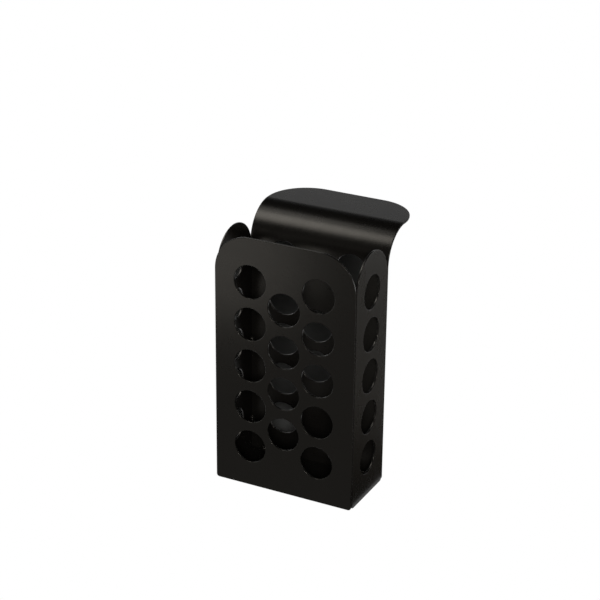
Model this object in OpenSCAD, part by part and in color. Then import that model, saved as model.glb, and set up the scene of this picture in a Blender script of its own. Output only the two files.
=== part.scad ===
// Hanging cutlery caddy: a narrow box of perforated steel sheet whose back panel rolls over into a
// wide tongue that hangs on a rail. X runs across the front, Y from front to back and Z up. The
// origin is the middle of the floor's underside.

/* [Box] */
// Outer width across the side panels
body_w = 70; // [56:0.5:110]
// Outer depth from the front panel's face to the back panel's back
body_d = 34; // [28:0.5:60]
// Height of the hanging tongue's top
body_h = 124; // [90:1:180]
// Drop from the tongue's top to the front panel's top
front_drop = 0.4; // [0:0.1:8]
// Drop from the tongue's top to the top of the side panels' arch
side_drop = 2.7; // [0:0.1:8]
// Thickness of the steel sheet
sheet_t = 1; // [0.8:0.1:1.5]
// Radius of the front panel's top corners
front_corner_r = 17.5; // [4:0.5:25]
// Radius of the panels' bottom corners
foot_corner_r = 1.5; // [0.5:0.1:3]
// Open seam between the front panel and each side panel
seam_gap = 0.6; // [0.3:0.1:1]

/* [Perforation] */
// Diameter of the punched holes
hole_d = 16; // [8:0.5:18]
// Height step between the holes of one column
row_pitch = 20.6; // [19.6:0.1:30]
// Distance between neighbouring columns
column_pitch = 17.1; // [16:0.1:24]
// Height of the lowest holes in the front and back panels' outer columns
first_row_z = 20.2; // [20:0.1:30]
// Height of the side panels' lowest hole
side_row_z = 19.7; // [19.5:0.1:30]
// Least width of sheet between a hole and an edge
edge_margin = 2; // [1:0.1:6]
// Holes left out at each end of the back panel's middle column
back_skip = 1; // [0:1:1]

/* [Hanging tongue] */
// Inner radius of the roll between the back panel and the tongue
roll_r = 16; // [8:0.5:20]
// Reach of the tongue behind the back panel
tongue_reach = 37.6; // [26:0.5:60]
// Radius of the tongue's far corners
tongue_corner_r = 20; // [4:0.5:26]

/* [Floor] */
// Clearance between the floor plate's edges and the walls
floor_fit = 0.1; // [0.05:0.05:0.3]
// Diameter of the drain holes
drain_d = 10; // [5:0.5:14]

/* [Welds] */
// Leg of the tack welds
tack_leg = 2; // [1.5:0.1:2.5]
// Length of each tack weld
tack_l = 7; // [6:0.5:10]
// Tack welds in each upright corner
tack_count = 3; // [2:1:5]
// Distance from the side walls to the middle of the floor's front and back tack welds
tack_inset = 8.6; // [8:0.1:12]

/* [Hidden] */
$fn = 96;
coat = "#2c2b28";

half_w = body_w / 2;
half_d = body_d / 2;
// Inner faces of the walls
wall_x = half_w - sheet_t;
wall_y = half_d - sheet_t;

front_h = body_h - front_drop;

// The side panels butt against the back panel and stop short of the front panel by the seam
side_front_y = seam_gap - wall_y;
side_w = wall_y - side_front_y;
side_mid_y = (side_front_y + wall_y) / 2;
side_h = body_h - side_drop;
arch_r = side_w / 2;
arch_z = side_h - arch_r;

// The roll turns about a line behind the back panel and under the tongue
roll_outer_r = roll_r + sheet_t;
roll_y = half_d + roll_r;
roll_z = body_h - roll_outer_r;
tongue_end_y = half_d + tongue_reach;

// Columns of holes on each side of the middle one
column_reach = floor((half_w - hole_d / 2 - edge_margin) / column_pitch);

floor_w = 2 * (wall_x - floor_fit);
floor_d = 2 * (wall_y - floor_fit);

// The lowest corner weld clears the floor's welds and the highest stays below the arch
tack_low_z = sheet_t + 2 * tack_l;
tack_high_z = arch_z - tack_l;

// Holes that fit one above the other from the lowest one's height to a top edge
function rows_between(first_z, top) = floor((top - edge_margin - hole_d / 2 - first_z) / row_pitch) + 1;

module hole_column(x, first_z, count) {
    for (i = [0 : 1 : count - 1])
        translate([x, first_z + i * row_pitch])
            circle(d = hole_d);
}

// Staggered columns up to the front panel's top: the middle one starts half a step higher, with one hole
// fewer, and so on outwards; skip leaves holes out at both ends of the middle column
module perforation(skip = 0) {
    rows = rows_between(first_row_z, front_h);
    for (i = [-column_reach : 1 : column_reach]) {
        raised = 1 - abs(i) % 2;
        left_out = i == 0 ? skip : 0;
        first_z = first_row_z + (left_out + raised / 2) * row_pitch;
        hole_column(i * column_pitch, first_z, rows - raised - 2 * left_out);
    }
}

// Rectangle standing on the baseline, with its bottom corners rounded
module footed_outline(w, h) {
    translate([-w / 2, foot_corner_r])
        square([w, h - foot_corner_r]);
    translate([foot_corner_r - w / 2, 0])
        square([w - 2 * foot_corner_r, 2 * foot_corner_r]);
    for (s = [-1, 1])
        translate([s * (w / 2 - foot_corner_r), foot_corner_r])
            circle(r = foot_corner_r);
}

module front_outline() {
    footed_outline(body_w, front_h - front_corner_r);
    translate([front_corner_r - half_w, foot_corner_r])
        square([body_w - 2 * front_corner_r, front_h - foot_corner_r]);
    for (s = [-1, 1])
        translate([s * (half_w - front_corner_r), front_h - front_corner_r])
            circle(r = front_corner_r);
}

module side_outline() {
    footed_outline(side_w, arch_z);
    translate([0, arch_z])
        circle(r = arch_r);
}

// Top view of the tongue, from the roll's start to its rounded far end
module tongue_outline() {
    translate([-half_w, half_d - sheet_t])
        square([body_w, tongue_reach + sheet_t - tongue_corner_r]);
    translate([tongue_corner_r - half_w, half_d - sheet_t])
        square([body_w - 2 * tongue_corner_r, tongue_reach + sheet_t]);
    for (s = [-1, 1])
        translate([s * (half_w - tongue_corner_r), tongue_end_y - tongue_corner_r])
            circle(r = tongue_corner_r);
}

// Side view of the roll and the tongue: a quarter turn of sheet and a flat run
module tongue_section() {
    intersection() {
        translate([roll_y, roll_z])
            difference() {
                circle(r = roll_outer_r);
                circle(r = roll_r);
            }
        translate([roll_y - roll_outer_r, roll_z])
            square(roll_outer_r);
    }
    translate([roll_y, body_h - sheet_t])
        square([tongue_end_y - roll_y, sheet_t]);
}

// Stands a drawing in X and Z up as a sheet of thickness t whose front face lies at y
module sheet_across(y, t = sheet_t) {
    translate([0, y + t, 0])
        rotate([90, 0, 0])
            linear_extrude(t)
                children();
}

// Stands a drawing in Y and Z up as a sheet of a given length in X, starting at x
module sheet_along(x, l) {
    translate([x, 0, 0])
        rotate([90, 0, 90])
            linear_extrude(l)
                children();
}

module front_panel() {
    color(coat)
        sheet_across(-half_d)
            difference() {
                front_outline();
                perforation();
            }
}

// The holes line up with the front panel's, so the top ones run into the start of the roll
module back_panel() {
    color(coat)
        difference() {
            union() {
                sheet_across(wall_y)
                    footed_outline(body_w, roll_z);
                intersection() {
                    sheet_along(-half_w, body_w)
                        tongue_section();
                    translate([0, 0, roll_z])
                        linear_extrude(roll_outer_r)
                            tongue_outline();
                }
            }
            sheet_across(wall_y, roll_outer_r)
                perforation(back_skip);
        }
}

module side_panel(x) {
    color(coat)
        sheet_along(x, sheet_t)
            translate([side_mid_y, 0])
                difference() {
                    side_outline();
                    hole_column(0, side_row_z, rows_between(side_row_z, side_h));
                }
}

module floor_plate() {
    color(coat)
        linear_extrude(sheet_t)
            difference() {
                square([floor_w, floor_d], center = true);
                for (i = [-column_reach : 1 : column_reach])
                    translate([i * column_pitch, 0])
                        circle(d = drain_d);
            }
}

// One tack weld: a quarter-round bead with rounded ends, its corner on the Z axis
module tack_bead() {
    run = tack_l - 2 * tack_leg;
    intersection() {
        union() {
            translate([0, 0, -run / 2])
                cylinder(r = tack_leg, h = run);
            for (s = [-1, 1])
                translate([0, 0, s * run / 2])
                    sphere(r = tack_leg);
        }
        translate([0, 0, -tack_l / 2])
            cube([tack_leg, tack_leg, tack_l]);
    }
}

// Tack welds up one corner: side is -1 on the left, end is -1 at the front
module corner_welds(side, end) {
    turn = end < 0 ? (side < 0 ? 0 : 90) : (side < 0 ? 270 : 180);
    step = (tack_high_z - tack_low_z) / (tack_count - 1);
    color(coat)
        for (i = [0 : 1 : tack_count - 1])
            translate([side * wall_x, end * wall_y, tack_low_z + i * step])
                rotate([0, 0, turn])
                    tack_bead();
}

// Tack welds between the floor and one wall: two on the long walls and one on the short.
// Turn 0 is the front wall.
module floor_welds(turn) {
    on_long_wall = turn % 180 == 0;
    wall = on_long_wall ? wall_y : wall_x;
    places = on_long_wall ? [tack_inset - wall_x, wall_x - tack_inset] : [0];
    color(coat)
        rotate([0, 0, turn])
            for (x = places)
                translate([x, -wall, sheet_t])
                    rotate([0, -90, 0])
                        tack_bead();
}

front_panel();
back_panel();
side_panel(-half_w);  // left_side_panel
side_panel(wall_x);  // right_side_panel
floor_plate();
corner_welds(-1, -1);  // front_left_corner_welds
corner_welds(1, -1);  // front_right_corner_welds
corner_welds(-1, 1);  // back_left_corner_welds
corner_welds(1, 1);  // back_right_corner_welds
floor_welds(0);  // front_floor_welds
floor_welds(180);  // back_floor_welds
floor_welds(270);  // left_floor_weld
floor_welds(90);  // right_floor_weld
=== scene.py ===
import math

import bpy
import numpy as np
from mathutils import Matrix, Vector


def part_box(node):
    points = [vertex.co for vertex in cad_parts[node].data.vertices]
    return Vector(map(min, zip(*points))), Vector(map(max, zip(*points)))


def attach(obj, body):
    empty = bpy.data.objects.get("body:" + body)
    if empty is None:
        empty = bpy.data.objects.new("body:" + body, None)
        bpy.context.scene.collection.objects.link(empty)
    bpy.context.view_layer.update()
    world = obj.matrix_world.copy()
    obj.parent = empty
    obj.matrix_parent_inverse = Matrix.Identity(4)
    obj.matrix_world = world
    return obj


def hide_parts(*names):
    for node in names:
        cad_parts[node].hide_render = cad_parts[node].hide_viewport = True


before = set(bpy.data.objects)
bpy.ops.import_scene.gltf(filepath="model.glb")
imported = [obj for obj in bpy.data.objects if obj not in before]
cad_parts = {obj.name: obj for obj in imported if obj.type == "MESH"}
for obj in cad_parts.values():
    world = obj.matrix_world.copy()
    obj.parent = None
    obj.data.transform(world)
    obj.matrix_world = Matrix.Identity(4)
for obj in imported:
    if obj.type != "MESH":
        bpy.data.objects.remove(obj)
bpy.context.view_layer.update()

# Front panel: the upright plate that faces the room, with round shoulders and three staggered columns
# of holes. It is cut from 1 mm mild steel sheet, deburred, tacked to the side panels from inside the
# box and powder coated black with everything else.

MM = 0.001  # sizes and places are in millimetres unless they say otherwise, and this makes them metres
DIGITS = 3  # decimals that count in a place, so points within a micrometre are one
QUARTER = math.pi / 2
COLUMNS = (-1, 0, 1)
ROWS = 5
HOLE_R = 8.0
ROW_PITCH = 20.6
COLUMN_PITCH = 17.1
FIRST_ROW_Z = 20.2
SHOULDER_R = 17.5
FOOT_R = 1.5
LIP_R = 0.3  # rounding that deburring and the coat give to a cut edge
LIP_STEPS = 5
FACE_STEPS = 3
CELL_STEPS = 24  # steps along each side of a hole's cell, a quarter of the hole's own
CORNER_STEPS = 24  # steps round a corner of a plate
SLIDE_STEPS = 6  # steps along the straight edge on each side of that corner


def node_box(node):
    """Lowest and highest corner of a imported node, in millimetres."""
    low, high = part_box(node)
    return np.round(np.array(low) / MM, DIGITS), np.round(np.array(high) / MM, DIGITS)


front_low, front_high = node_box("front_panel")
SHEET = front_high[1] - front_low[1]


def lipped_strip(seam, edge, outward):
    """Sheet between a seam and a cut edge, as rows of (u, v, t): straight across the face from the seam
    to the lip, a quarter turn of radius LIP_R over the lip, then the same rows mirrored along the other
    face. Returns points, normals and how far each row is over the lip, from 0 on the face to 1 on the
    cut."""
    lip_turn = np.linspace(0, QUARTER, LIP_STEPS + 1)[1:, None]
    turn = np.concatenate([np.zeros((FACE_STEPS + 1, 1)), lip_turn])
    share = np.linspace(0, 1, FACE_STEPS + 1)[:, None, None]
    flat = seam + share * (edge - LIP_R * outward - seam)
    lip = edge - LIP_R * (1 - np.sin(lip_turn[:, :, None])) * outward
    across = np.concatenate([flat, lip])
    lift = np.broadcast_to(SHEET / 2 - LIP_R * (1 - np.cos(turn)), across.shape[:2])
    tilt = np.broadcast_to(np.cos(turn), across.shape[:2])
    points = np.dstack([across, lift])
    normals = np.dstack([np.sin(turn)[:, :, None] * outward, tilt])
    over = np.broadcast_to(np.sin(turn), across.shape[:2])
    other_side = np.array([1, 1, -1])
    return (np.concatenate([points, points[::-1] * other_side]),
            np.concatenate([normals, normals[::-1] * other_side]),
            np.concatenate([over, over[::-1]]))


def plain_faces(us, vs):
    """Both faces of a stretch of sheet with no hole: the grid of us and vs at half the thickness up and
    down."""
    strips = []
    for side in (1, -1):
        u, v = np.meshgrid(us[::side], vs, indexing="ij")
        points = np.dstack([u, v, np.full(u.shape, side * SHEET / 2)])
        strips.append((points, np.broadcast_to([0.0, 0.0, side], points.shape), np.zeros(u.shape)))
    return strips


def hole_strip(us, vs, radius):
    """Sheet of one cell round its hole: points along the cell's border, quarter by quarter from its
    lowest left corner, are joined to the points as far along the quarters of the circle in its middle.
    Walked clockwise, with the hole on the right."""
    border = np.concatenate([
        np.column_stack([us, np.full(us.shape, vs[0])])[:-1],
        np.column_stack([np.full(vs.shape, us[-1]), vs])[:-1],
        np.column_stack([us[::-1], np.full(us.shape, vs[-1])])[:-1],
        np.column_stack([np.full(vs.shape, us[0]), vs[::-1]]),
    ])
    angle = np.linspace(-1.5, 2.5, len(border)) * QUARTER
    ring = np.column_stack([np.cos(angle), np.sin(angle)])
    middle = np.array([us[0] + us[-1], vs[0] + vs[-1]]) / 2
    return lipped_strip(border[::-1], (middle + radius * ring)[::-1], -ring[::-1])


def border_strip(us, vs, low, high, radii):
    """Sheet between a grid's border and a rectangle with rounded corners, walked anticlockwise. A point
    of the border goes straight across to the outline. Each corner of the border fans out over the
    stretch of outline past it. Every outline point is a centre plus a radius at an angle: on a straight
    side the centre slides and on a corner the angle turns. radii run anticlockwise from the lowest left
    corner."""
    way = np.array([[1, 0], [0, 1], [-1, 0], [0, -1]], float)
    out = np.array([[0, -1], [1, 0], [0, 1], [-1, 0]], float)
    plate = np.array([low, (high[0], low[1]), high, (low[0], high[1])], float)
    inner = plate + np.array(radii)[:, None] * (way - out)
    corner = np.array([(us[0], vs[0]), (us[-1], vs[0]), (us[-1], vs[-1]), (us[0], vs[-1])])
    lines = [us, vs, us[::-1], vs[::-1]]
    sides = []
    for k in range(4):
        ahead = (k + 1) % 4
        seam = corner[k] + np.abs(lines[k] - lines[k][0])[:, None] * way[k]
        along = seam @ way[k]
        start, stop = inner[k] @ way[k], inner[ahead] @ way[k]
        radius = np.where(along < (start + stop) / 2, radii[k], radii[ahead])
        slid = np.clip(along, start, stop)
        centre = slid[:, None] * way[k] + (plate[k] @ out[k] - radius)[:, None] * out[k]
        angle = (k - 1) * QUARTER + np.arcsin((along - slid) / radius)
        sides.append((seam, centre, angle, radius))
    seams, centres, angles, rounds = [], [], [], []
    share = np.linspace(0, 1, SLIDE_STEPS + 1)[1:, None]
    for k in range(4):
        ahead = (k + 1) % 4
        seam, centre, angle, radius = sides[k]
        next_centre = sides[ahead][1][0]
        next_angle = sides[ahead][2][0] + (4 * QUARTER if ahead == 0 else 0)
        turn = np.linspace(angle[-1], next_angle, CORNER_STEPS + 1)[1:]
        fan = np.concatenate([
            centre[-1] + share * (inner[ahead] - centre[-1]),
            np.broadcast_to(inner[ahead], (CORNER_STEPS, 2)),
            inner[ahead] + share * (next_centre - inner[ahead]),
        ])
        fan_angle = np.concatenate([
            np.full(SLIDE_STEPS, angle[-1]), turn, np.full(SLIDE_STEPS, next_angle),
        ])
        seams += [seam, np.broadcast_to(corner[ahead], fan.shape)]
        centres += [centre, fan]
        angles += [angle, fan_angle]
        rounds += [radius, np.full(len(fan), radii[ahead])]
    angle = np.concatenate(angles)
    outward = np.column_stack([np.cos(angle), np.sin(angle)])
    edge = np.concatenate(centres) + np.concatenate(rounds)[:, None] * outward
    return lipped_strip(np.concatenate(seams), edge, outward)


def cell_lines(middle, pitch):
    """Grid lines across one cell, half a pitch to each side of its middle."""
    return middle + pitch * np.linspace(-0.5, 0.5, CELL_STEPS + 1)


def punched_field(solid_rows=()):
    """Perforated middle of a panel: cells with a hole in three staggered columns, half a plain cell
    above and below the middle column, and plain cells where its solid rows are."""
    strips = []
    for column in COLUMNS:
        us = cell_lines(column * COLUMN_PITCH, COLUMN_PITCH)
        raised = 1 - abs(column)
        for row in range(ROWS - raised):
            vs = cell_lines(FIRST_ROW_Z + (row + raised / 2) * ROW_PITCH, ROW_PITCH)
            if raised and row in solid_rows:
                strips += plain_faces(us, vs)
            else:
                strips.append(hole_strip(us, vs, HOLE_R))
        if raised:
            half = CELL_STEPS // 2
            last_row_z = FIRST_ROW_Z + (ROWS - 1) * ROW_PITCH
            strips += plain_faces(us, cell_lines(FIRST_ROW_Z, ROW_PITCH)[:half + 1])
            strips += plain_faces(us, cell_lines(last_row_z, ROW_PITCH)[half:])
    return strips


half_field = len(COLUMNS) / 2
field_us = COLUMN_PITCH * np.linspace(-half_field, half_field, len(COLUMNS) * CELL_STEPS + 1)
field_vs = FIRST_ROW_Z + ROW_PITCH * np.linspace(-0.5, ROWS - 0.5, ROWS * CELL_STEPS + 1)


def standing(origin, across, up):
    """Place of a flat piece: u runs along across, v along up, and t along the cross product of the
    two."""
    axes = np.array([across, up, np.cross(across, up)], float)
    return lambda points, normals: (np.array(origin) + points @ axes, normals @ axes)


def linear(hex_colour):
    """sRGB hex to linear red, green, blue and an alpha of 1."""
    srgb = np.array([int(hex_colour[i:i + 2], 16) for i in (1, 3, 5)]) / 255
    return (*np.where(srgb <= 0.04045, srgb / 12.92, ((srgb + 0.055) / 1.055) ** 2.4), 1.0)


def add_node(tree, kind, inputs, **settings):
    """Adds a node with its settings, and fills its inputs with values or links them to other nodes'
    outputs."""
    made = tree.nodes.new(kind)
    for name, value in settings.items():
        setattr(made, name, value)
    for name, value in inputs.items():
        if isinstance(value, bpy.types.NodeSocket):
            tree.links.new(value, made.inputs[name])
        else:
            made.inputs[name].default_value = value
    return made


def black_powder_coat():
    """Satin black powder coat, sprayed dry and baked: nearly neutral black with a trace of brown, a soft
    sheen, a fine orange peel, slow drifts of tone and gloss, and a thinner, glossier skin over cut
    edges."""
    PEEL = 0.9  # from bump to bump of the orange peel
    PEEL_HEIGHT = 0.012
    PEEL_STRENGTH = 0.5
    GRIT = 0.5  # drawn coarser than the real powder, so that it shows
    HAZE = 6.0  # width of a patch of like gloss
    CLOUD = 15.0  # width of a patch of like tone
    ROUGHNESS = (0.25, 0.31)
    LIP_SMOOTHING = 0.06
    GLOSS = 0.075  # lower than a paint's usual 0.5, because the floor and walls it mirrors are pure white
    coat = bpy.data.materials.new("black_powder_coated_steel")
    coat.use_nodes = True
    tree = coat.node_tree
    tree.nodes.clear()
    place = add_node(tree, "ShaderNodeTexCoord", {}).outputs["Object"]
    over = add_node(tree, "ShaderNodeAttribute", {}, attribute_name="over_lip").outputs["Fac"]
    noise = {}
    for size, detail in ((PEEL, 1), (GRIT, 1), (HAZE, 2), (CLOUD, 2)):
        noise[size] = add_node(tree, "ShaderNodeTexNoise", {
            "Vector": place, "Scale": 1 / (size * MM), "Detail": detail,
        }).outputs["Fac"]
    tone = add_node(tree, "ShaderNodeMix", {
        "Factor": noise[CLOUD], "A": linear("#060505"), "B": linear("#090807"),
    }, data_type="RGBA").outputs["Result"]
    grain = add_node(tree, "ShaderNodeMix", {
        "Factor": noise[GRIT], "A": tone, "B": linear("#0b0a08"),
    }, data_type="RGBA").outputs["Result"]
    thin = add_node(tree, "ShaderNodeMix", {
        "Factor": over, "A": grain, "B": linear("#0c0b0a"),
    }, data_type="RGBA").outputs["Result"]
    rough = add_node(tree, "ShaderNodeMapRange", {
        "Value": noise[HAZE], "To Min": ROUGHNESS[0], "To Max": ROUGHNESS[1],
    }).outputs["Result"]
    smoothed = add_node(tree, "ShaderNodeMath", {0: over, 1: -LIP_SMOOTHING, 2: rough},
                        operation="MULTIPLY_ADD").outputs["Value"]
    peel = add_node(tree, "ShaderNodeBump", {
        "Height": noise[PEEL], "Strength": PEEL_STRENGTH, "Distance": PEEL_HEIGHT * MM,
    }).outputs["Normal"]
    # The warm specular tint stands in for warm lamplight: a painted warmth in the sheen.
    shader = add_node(tree, "ShaderNodeBsdfPrincipled", {
        "Base Color": thin, "Roughness": smoothed, "Normal": peel,
        "Specular IOR Level": GLOSS, "Specular Tint": linear("#fff7e9"),
    }).outputs["BSDF"]
    add_node(tree, "ShaderNodeOutputMaterial", {"Surface": shader})
    return coat


coat = black_powder_coat()


def coated_piece(node, strips):
    """One closed mesh from placed strips, each a grid of four-sided faces: points that fall together
    become one, and faces that collapse at a fan's corner become triangles or go. It takes the place of
    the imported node."""
    points, normals, over = (np.concatenate([strip[i].reshape(-1, size) for strip in strips])
                             for i, size in enumerate((3, 3, 1)))
    quads, start = [], 0
    for strip in strips:
        rows, columns = strip[0].shape[:2]
        at = start + np.arange(rows * columns).reshape(rows, columns)
        cells = np.stack([at[:-1, :-1], at[1:, :-1], at[1:, 1:], at[:-1, 1:]], axis=-1)
        quads.append(cells.reshape(-1, 4))
        start += rows * columns
    _, first, index = np.unique(np.round(points, DIGITS), axis=0, return_index=True, return_inverse=True)
    corners = index.ravel()[np.concatenate(quads)]
    doubled = corners == np.roll(corners, -1, axis=1)
    whole = doubled.sum(axis=1) == 0
    halved = doubled.sum(axis=1) == 1
    triangles = corners[halved][~doubled[halved]].reshape(-1, 3)
    mesh = bpy.data.meshes.new("coated_" + node)
    mesh.from_pydata((points[first] * MM).tolist(), [], corners[whole].tolist() + triangles.tolist())
    mesh.shade_smooth()
    mesh.normals_split_custom_set_from_vertices(normals[first].tolist())
    mesh.attributes.new("over_lip", "FLOAT", "POINT").data.foreach_set("value", over[first].ravel())
    mesh.materials.append(coat)
    piece = bpy.data.objects.new("coated_" + node, mesh)
    bpy.context.scene.collection.objects.link(piece)
    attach(piece, "root")
    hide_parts(node)


def placed(strips, place):
    """Strips of a flat pattern, carried to where the piece stands."""
    moved = []
    for points, normals, over in strips:
        at, facing = place(points.reshape(-1, 3), normals.reshape(-1, 3))
        moved.append((at.reshape(points.shape), facing.reshape(points.shape), over))
    return moved


front_strips = punched_field()
front_strips.append(border_strip(
    field_us, field_vs, front_low[[0, 2]], front_high[[0, 2]], (FOOT_R, FOOT_R, SHOULDER_R, SHOULDER_R)))
front_y = (front_low[1] + front_high[1]) / 2
coated_piece("front_panel", placed(front_strips, standing((0, front_y, 0), (1, 0, 0), (0, 0, 1))))

# Side panels: two like plates of the same sheet with a full round top and one column of holes. Each
# butts on the back panel and leaves an open seam of 0.6 mm behind the front panel, which tack welds
# inside the box bridge.

SIDE_CELL_W = 20.0
SIDE_ROW_Z = 19.7

side_us = cell_lines(0, SIDE_CELL_W)
side_vs = field_vs + SIDE_ROW_Z - FIRST_ROW_Z

for node, outside in (("left_side_panel", -1), ("right_side_panel", 1)):
    low, high = node_box(node)
    middle = (low + high) / 2
    half_w = (high[1] - low[1]) / 2
    side_strips = [hole_strip(side_us, cell_lines(SIDE_ROW_Z + row * ROW_PITCH, ROW_PITCH), HOLE_R)
                   for row in range(ROWS)]
    side_strips.append(border_strip(
        side_us, side_vs, (-half_w, low[2]), (half_w, high[2]), (FOOT_R, FOOT_R, half_w, half_w)))
    side_place = standing((middle[0], middle[1], 0), (0, outside, 0), (0, 0, 1))
    coated_piece(node, placed(side_strips, side_place))

# Back panel: one long blank of the same sheet. It is punched with the front's holes, save the two ends
# of the middle column, and its top is then rolled over backwards through a quarter turn into a level
# tongue with round corners, which hangs on a rail. The top holes run into the start of the roll.

ROLL_R = 16.5  # to the middle of the sheet
TONGUE_CORNER_R = 20.0
SOLID_ROWS = (0, 3)  # of the middle column, counted from below
ROLL_STEPS = 36
TONGUE_STEPS = 4

back_low, back_high = node_box("back_panel")
roll_y = back_low[1] + SHEET / 2 + ROLL_R
roll_z = back_high[2] - SHEET / 2 - ROLL_R
roll_length = ROLL_R * QUARTER
tongue_start = roll_z + roll_length
blank_top = tongue_start + back_high[1] - roll_y
corner_v = blank_top - TONGUE_CORNER_R


def rolled_over(points, normals):
    """Blank to panel: upright below the roll, turned about a line across the panel by v over the roll's
    radius, and level past the quarter turn. t stands off the middle of the sheet on the box's side and
    on top."""
    u, v, t = points.T
    bend = np.clip((v - roll_z) / ROLL_R, 0, QUARTER)
    past = np.maximum(v - roll_z - roll_length, 0)
    y = roll_y - (ROLL_R + t) * np.cos(bend) + past
    z = np.minimum(v, roll_z) + (ROLL_R + t) * np.sin(bend)
    n_u, n_v, n_t = normals.T
    n_y = n_v * np.sin(bend) - n_t * np.cos(bend)
    n_z = n_v * np.cos(bend) + n_t * np.sin(bend)
    return np.column_stack([u, y, z]), np.column_stack([n_u, n_y, n_z])


roll_vs = np.concatenate([
    np.linspace(field_vs[-1], tongue_start, ROLL_STEPS + 1),
    np.linspace(tongue_start, corner_v, TONGUE_STEPS + 1)[1:],
])
back_strips = punched_field(SOLID_ROWS) + plain_faces(field_us, roll_vs)
back_strips.append(border_strip(
    field_us, np.concatenate([field_vs[:-1], roll_vs]),
    (back_low[0], back_low[2]), (back_high[0], blank_top),
    (FOOT_R, FOOT_R, TONGUE_CORNER_R, TONGUE_CORNER_R)))
coated_piece("back_panel", placed(back_strips, rolled_over))

# Floor plate: a plain rectangle of the same sheet between the four walls, flush with their bottom edges,
# with three drain holes in line. Tack welds inside the box hold it, and the coat closes the narrow gap
# round it.

DRAIN_R = 5.0
FLOOR_CORNER_R = 0.5

plate_low, plate_high = node_box("floor_plate")
_, left_wall = node_box("left_side_panel")
gap = plate_low[0] - left_wall[0]
floor_low, floor_high = plate_low - (gap, gap, 0), plate_high + (gap, gap, 0)
drain_vs = cell_lines(0, COLUMN_PITCH)
floor_strips = [hole_strip(cell_lines(column * COLUMN_PITCH, COLUMN_PITCH), drain_vs, DRAIN_R)
                for column in COLUMNS]
floor_strips.append(border_strip(
    field_us, drain_vs, floor_low[:2], floor_high[:2], (FLOOR_CORNER_R,) * 4))
floor_z = (floor_low[2] + floor_high[2]) / 2
coated_piece("floor_plate", placed(floor_strips, standing((0, 0, floor_z), (1, 0, 0), (0, 1, 0))))

# Tack welds: short fillet beads of steel laid inside the box, three up each corner, two along each of
# the floor's long edges and one on each short edge. They are coated over with the sheets, so they show
# as small rippled lumps.

BEAD_L = 7.0
CORNER_BEADS = 3
RIPPLE = 0.07  # depth of the ripples as a share of the bead's leg
RIPPLE_PITCH = 0.9
BEAD_STEPS = 60  # half of them along the straight run and a quarter round each end
BEAD_SIDES = 12


def bead_strips(leg):
    """A bead in the corner of u and v, along t: a quarter circle whose radius is the leg, less a cosine
    ripple, and shrinks at both ends as a ball's does, with the two flats that lie on the walls."""
    run = BEAD_L / 2 - leg
    along = np.linspace(-1, 1, BEAD_STEPS + 1)
    bend = np.clip(2 * np.abs(along) - 1, 0, 1) * QUARTER
    t = run * np.clip(2 * along, -1, 1) + np.sign(along) * leg * np.sin(bend)
    dip = 0.5 - 0.5 * np.cos(2 * math.pi * t / RIPPLE_PITCH)
    radius = leg * np.cos(bend) * (1 - RIPPLE * dip)
    radius[[0, -1]] = 0
    steep, forward = np.gradient(radius), np.gradient(t)
    length = np.hypot(steep, forward)
    angle = np.linspace(0, QUARTER, BEAD_SIDES + 1)[:, None]
    wave = np.stack(np.broadcast_arrays(radius * np.cos(angle), radius * np.sin(angle), t), axis=-1)
    facing = np.stack(np.broadcast_arrays(
        np.cos(angle) * forward / length, np.sin(angle) * forward / length, -steep / length), axis=-1)
    strips = [(wave, facing, np.zeros(wave.shape[:2]))]
    spine = np.stack([0 * t, 0 * t, t], axis=-1)
    for rows, normal in (((wave[-1], spine), (-1.0, 0.0, 0.0)), ((spine, wave[0]), (0.0, -1.0, 0.0))):
        flat = np.stack(rows)
        strips.append((flat, np.broadcast_to(normal, flat.shape), np.zeros(flat.shape[:2])))
    return strips


INWARD = {"left": (1, 0, 0), "right": (-1, 0, 0), "front": (0, 1, 0), "back": (0, -1, 0)}
RISE = (0, 0, 1)

for end, side in (("front", "left"), ("front", "right"), ("back", "left"), ("back", "right")):
    node = f"{end}_{side}_corner_welds"
    low, high = node_box(node)
    first, second = INWARD[side], INWARD[end]
    at = np.where(np.add(first, second) > 0, low, high)
    if np.cross(first, second)[2] < 0:
        first, second = second, first
    beads = []
    for z in np.linspace(low[2] + BEAD_L / 2, high[2] - BEAD_L / 2, CORNER_BEADS):
        beads += placed(bead_strips(high[0] - low[0]), standing((at[0], at[1], z), first, second))
    coated_piece(node, beads)

for wall, node in (("front", "front_floor_welds"), ("back", "back_floor_welds"),
                   ("left", "left_floor_weld"), ("right", "right_floor_weld")):
    low, high = node_box(node)
    inward = np.array(INWARD[wall])
    along = np.abs(np.cross(inward, RISE))
    at = np.where(inward > 0, low, np.where(inward < 0, high, (low + high) / 2))
    at[2] = low[2]
    reach = along @ (high - low) / 2 - BEAD_L / 2
    beads = []
    for place in sorted({-reach, reach}):
        beads += placed(bead_strips(high[2] - low[2]), standing(at + place * along, inward, RISE))
    coated_piece(node, beads)

# Studio floor: a wide sheet of matt grey paper under the caddy. It is plain white to the camera and to
# whatever mirrors it, except in a wedge straight behind the caddy, where the paper's dark grey shows with
# the caddy's shadow on it: a real shadow deepened by painted shade. In the picture the caddy covers the
# wedge, so it shows through the holes alone.

PICTURE_SIDE = 27.05  # degrees to the right of the front
FLOOR_REACH = 6.0  # metres to each side
SHADE_HALF_W = 40.0  # of the wedge where it starts, under the caddy
SHADE_POINT = 760.0  # from there to the wedge's point, out in front
SHADE_L = 365.0
SHADE_SLANT = 2.9  # how much shorter the wedge is for each step to the left, where the caddy is lower
SHADE_FADE = 10.0
SHADE_END_FADE = 30.0


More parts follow.
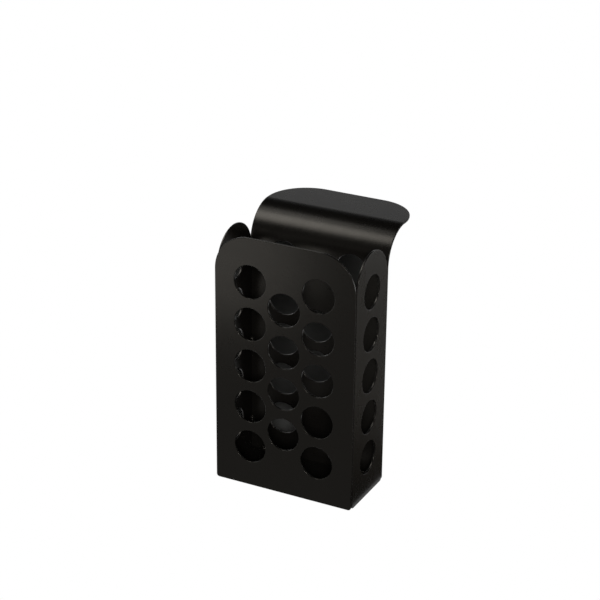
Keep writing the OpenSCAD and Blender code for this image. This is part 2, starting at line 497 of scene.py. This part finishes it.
def add_seen(tree):
    """1 for rays from the camera, off a mirror or through glass, and 0 for light that spreads."""
    ray = add_node(tree, "ShaderNodeLightPath", {}).outputs
    straight = add_node(tree, "ShaderNodeMath", {0: ray["Is Camera Ray"], 1: ray["Is Glossy Ray"]},
                        operation="MAXIMUM").outputs["Value"]
    return add_node(tree, "ShaderNodeMath", {0: straight, 1: ray["Is Transmission Ray"]},
                    operation="MAXIMUM").outputs["Value"]


def studio_paper():
    """Matt dark grey paper that turns white outside the shaded wedge. Seen only in the wedge, its dark
    grey deepens the caddy's shadow there: painted shade. The wedge's own X runs across it and Y along it,
    away from the picture's side. X over the wedge's growth in width with Y gives how far aside a point
    is, Y plus a share of that on the left how far along, and smooth steps at the sides and the two ends
    how far outside."""
    paper = bpy.data.materials.new("studio_paper_with_painted_shade")
    paper.use_nodes = True
    tree = paper.node_tree
    tree.nodes.clear()
    place = add_node(tree, "ShaderNodeTexCoord", {}).outputs["Object"]
    turned = add_node(tree, "ShaderNodeMapping", {
        "Vector": place, "Rotation": (0, 0, math.radians(PICTURE_SIDE)),
    }, vector_type="TEXTURE").outputs["Vector"]
    wedge = add_node(tree, "ShaderNodeSeparateXYZ", {"Vector": turned}).outputs
    growth = add_node(tree, "ShaderNodeMath", {0: wedge["Y"], 1: 1 / (SHADE_POINT * MM), 2: 1.0},
                      operation="MULTIPLY_ADD").outputs["Value"]
    across = add_node(tree, "ShaderNodeMath", {0: wedge["X"], 1: growth},
                      operation="DIVIDE").outputs["Value"]
    aside = add_node(tree, "ShaderNodeMath", {0: across}, operation="ABSOLUTE").outputs["Value"]
    leftward = add_node(tree, "ShaderNodeMath", {0: across, 1: 0.0},
                        operation="MINIMUM").outputs["Value"]
    reach = add_node(tree, "ShaderNodeMath", {0: leftward, 1: -SHADE_SLANT, 2: wedge["Y"]},
                     operation="MULTIPLY_ADD").outputs["Value"]
    outside = 0.0
    for value, inner, outer in ((aside, SHADE_HALF_W - SHADE_FADE, SHADE_HALF_W),
                                (wedge["Y"], SHADE_FADE, 0.0),
                                (reach, SHADE_L - SHADE_END_FADE, SHADE_L)):
        step = add_node(tree, "ShaderNodeMapRange", {
            "Value": value, "From Min": inner * MM, "From Max": outer * MM,
        }, interpolation_type="SMOOTHSTEP").outputs["Result"]
        outside = add_node(tree, "ShaderNodeMath", {0: step, 1: outside},
                           operation="MAXIMUM").outputs["Value"]
    whitened = add_node(tree, "ShaderNodeMath", {0: add_seen(tree), 1: outside},
                        operation="MULTIPLY").outputs["Value"]
    # The paper's dark grey is painted shade: it shows only in the wedge, where it darkens the caddy's
    # shadow.
    matt = add_node(tree, "ShaderNodeBsdfDiffuse", {"Color": linear("#4a4a48")}).outputs["BSDF"]
    white = add_node(tree, "ShaderNodeEmission", {"Strength": 1.0}).outputs["Emission"]
    sheet = add_node(tree, "ShaderNodeMixShader", {0: whitened, 1: matt, 2: white}).outputs["Shader"]
    add_node(tree, "ShaderNodeOutputMaterial", {"Surface": sheet})
    return paper


def stage_sheet(name, corners, paper):
    """A flat sheet of the studio, from its four corners."""
    mesh = bpy.data.meshes.new(name)
    mesh.from_pydata(corners, [], [(0, 1, 2, 3)])
    mesh.materials.append(paper)
    sheet = bpy.data.objects.new(name, mesh)
    bpy.context.scene.collection.objects.link(sheet)
    return sheet


floor_corners = [(x * FLOOR_REACH, y * FLOOR_REACH, 0) for x, y in ((-1, -1), (1, -1), (1, 1), (-1, 1))]
stage_sheet("studio_floor", floor_corners, studio_paper())

# Studio light: a soft box on the picture's side lights the caddy and throws its shadow straight back.
# Two more at the upper left and two low cards, at the front left and the back right, are there for the
# sheen alone, on the roll, the front and the back. Sizes and places are in metres and powers in watts.


def from_side(side, elevation):
    """Unit vector from the caddy, by degrees to the right of its front and degrees above the floor."""
    turn, rise = math.radians(side), math.radians(elevation)
    return np.array([math.sin(turn) * math.cos(rise), -math.cos(turn) * math.cos(rise), math.sin(rise)])


def stand_at(thing, place, right, up, back):
    """Puts a lamp or camera at a place, looking away from back."""
    turned = Matrix(np.column_stack([right, up, back]).tolist()).to_4x4()
    turned.translation = place
    thing.matrix_world = turned


def soft_box(name, shape, width, length, power, aim, back, distance, along=(0, 1, 0), sheen_only=True):
    """Area lamp at a distance from what it faces, with its length as near to along as it goes. It stays
    out of the picture, and one for the sheen alone out of spread light too."""
    data = bpy.data.lights.new(name, "AREA")
    data.shape = shape
    data.size, data.size_y = width, length
    data.energy = power
    lamp = bpy.data.objects.new(name, data)
    lamp.visible_camera = False
    lamp.visible_diffuse = not sheen_only
    bpy.context.scene.collection.objects.link(lamp)
    right = np.cross(along, back)
    right /= np.linalg.norm(right)
    stand_at(lamp, np.array(aim) + distance * back, right, np.cross(back, right), back)


soft_box("key_soft_box", "DISK", width=0.45, length=0.45, power=70.0, aim=(0, 0, 0.06),
         back=from_side(PICTURE_SIDE, 24), distance=2.5, sheen_only=False)
soft_box("overhead_strip", "RECTANGLE", width=0.16, length=0.29, power=0.97, aim=(-0.03, 0.02, 0.12),
         back=from_side(-70, 63.4), distance=0.45)
soft_box("upper_left_soft_box", "DISK", width=0.29, length=0.29, power=3.14, aim=(-0.03, 0.02, 0.10),
         back=from_side(-51, 57.2), distance=0.60)
soft_box("front_left_card", "RECTANGLE", width=0.16, length=0.08, power=0.19,
         aim=(-0.063, 0.020, 0.067), back=from_side(-PICTURE_SIDE, 0), distance=0.15, along=RISE)
soft_box("back_right_card", "RECTANGLE", width=0.26, length=0.10, power=0.28,
         aim=(0, 0.017, 0.076), back=from_side(125, 0), distance=0.30, along=RISE)

# Grey flag: a glowing sheet of card on the floor at the right, which the sheen alone sees: a painted
# reflection. It keeps the white floor out of the right side panel, where a glancing view would mirror it,
# and its glow is darkest next to the caddy, a painted shade.

FLAG_LIFT = 0.8
FLAG_NEAR = ((36.0, 35.0), (36.0, -40.0))  # its corners next to the caddy
FLAG_FAR = ((288.0, 320.0), (146.0, 392.0))
FLAG_PAINTED_GLOW = (0.07, 0.24)  # how light it is beside the caddy's middle, and from FLAG_RISE behind that on
FLAG_RISE = 100.0

card = bpy.data.materials.new("painted_reflection_card")
card.use_nodes = True
tree = card.node_tree
tree.nodes.clear()
place = add_node(tree, "ShaderNodeTexCoord", {}).outputs["Object"]
depth = add_node(tree, "ShaderNodeSeparateXYZ", {"Vector": place}).outputs["Y"]
tone = add_node(tree, "ShaderNodeMapRange", {
    "Value": depth, "From Min": 0.0, "From Max": FLAG_RISE * MM,
    "To Min": FLAG_PAINTED_GLOW[0], "To Max": FLAG_PAINTED_GLOW[1],
}).outputs["Result"]
# The flag's glow is a painted reflection, dimmest next to the caddy as painted shade, and warm-tinted to
# stand in for warm lamplight.
grey = add_node(tree, "ShaderNodeEmission", {
    "Color": linear("#fff4e3"), "Strength": tone,
}).outputs["Emission"]
add_node(tree, "ShaderNodeOutputMaterial", {"Surface": grey})
flag_corners = [(x * MM, y * MM, FLAG_LIFT * MM) for x, y in FLAG_NEAR + FLAG_FAR]
flag = stage_sheet("painted_reflection_flag", flag_corners, card)
flag.visible_camera = False
flag.visible_diffuse = False
flag.visible_transmission = False
flag.visible_shadow = False

# Studio room: white walls that fade into a dark ceiling, for the camera and the sheen. To light that
# spreads, it is a weak even fill.

WALL_FADE = (0.22, 0.58)  # sines of the elevations between which the walls turn into the ceiling
CEILING = 0.02
FILL = 0.03

room = bpy.data.worlds.new("studio_room")
bpy.context.scene.world = room
room.use_nodes = True
tree = room.node_tree
tree.nodes.clear()
way = add_node(tree, "ShaderNodeTexCoord", {}).outputs["Generated"]
rise = add_node(tree, "ShaderNodeSeparateXYZ", {"Vector": way}).outputs["Z"]
walls = add_node(tree, "ShaderNodeMapRange", {
    "Value": rise, "From Min": WALL_FADE[0], "From Max": WALL_FADE[1], "To Min": 1.0, "To Max": CEILING,
}, interpolation_type="SMOOTHSTEP").outputs["Result"]
strength = add_node(tree, "ShaderNodeMix", {
    "Factor": add_seen(tree), "A": FILL, "B": walls,
}).outputs["Result"]
glow = add_node(tree, "ShaderNodeBackground", {
    "Color": (1, 1, 1, 1), "Strength": strength,
}).outputs["Background"]
add_node(tree, "ShaderNodeOutputWorld", {"Surface": glow})
bpy.context.scene.view_settings.view_transform = "Standard"

# Camera: a long lens to the right of the front and above it, tilted by 0.6 degrees, with the picture's
# centre half a pixel off the lens axis.

PICTURE_ELEVATION = 23.56  # degrees
TILT = math.radians(0.6)
CAMERA_PLACE = np.array([345.0, -676.3, 421.9]) * MM
PICTURE = 600  # pixels across
FOCAL_PIXELS = 1837
OFF_AXIS = 0.5  # pixels

camera_data = bpy.data.cameras.new("picture_camera")
camera_data.sensor_width = 36.0
camera_data.lens = camera_data.sensor_width * FOCAL_PIXELS / PICTURE
camera_data.shift_x = -OFF_AXIS / PICTURE
camera_data.shift_y = OFF_AXIS / PICTURE
camera = bpy.data.objects.new("picture_camera", camera_data)
bpy.context.scene.collection.objects.link(camera)
camera_back = from_side(PICTURE_SIDE, PICTURE_ELEVATION)
level = from_side(PICTURE_SIDE + 90, 0)
upright = np.cross(camera_back, level)
camera_right = level * math.cos(TILT) + upright * math.sin(TILT)
camera_up = upright * math.cos(TILT) - level * math.sin(TILT)
stand_at(camera, CAMERA_PLACE, camera_right, camera_up, camera_back)
bpy.context.scene.camera = camera
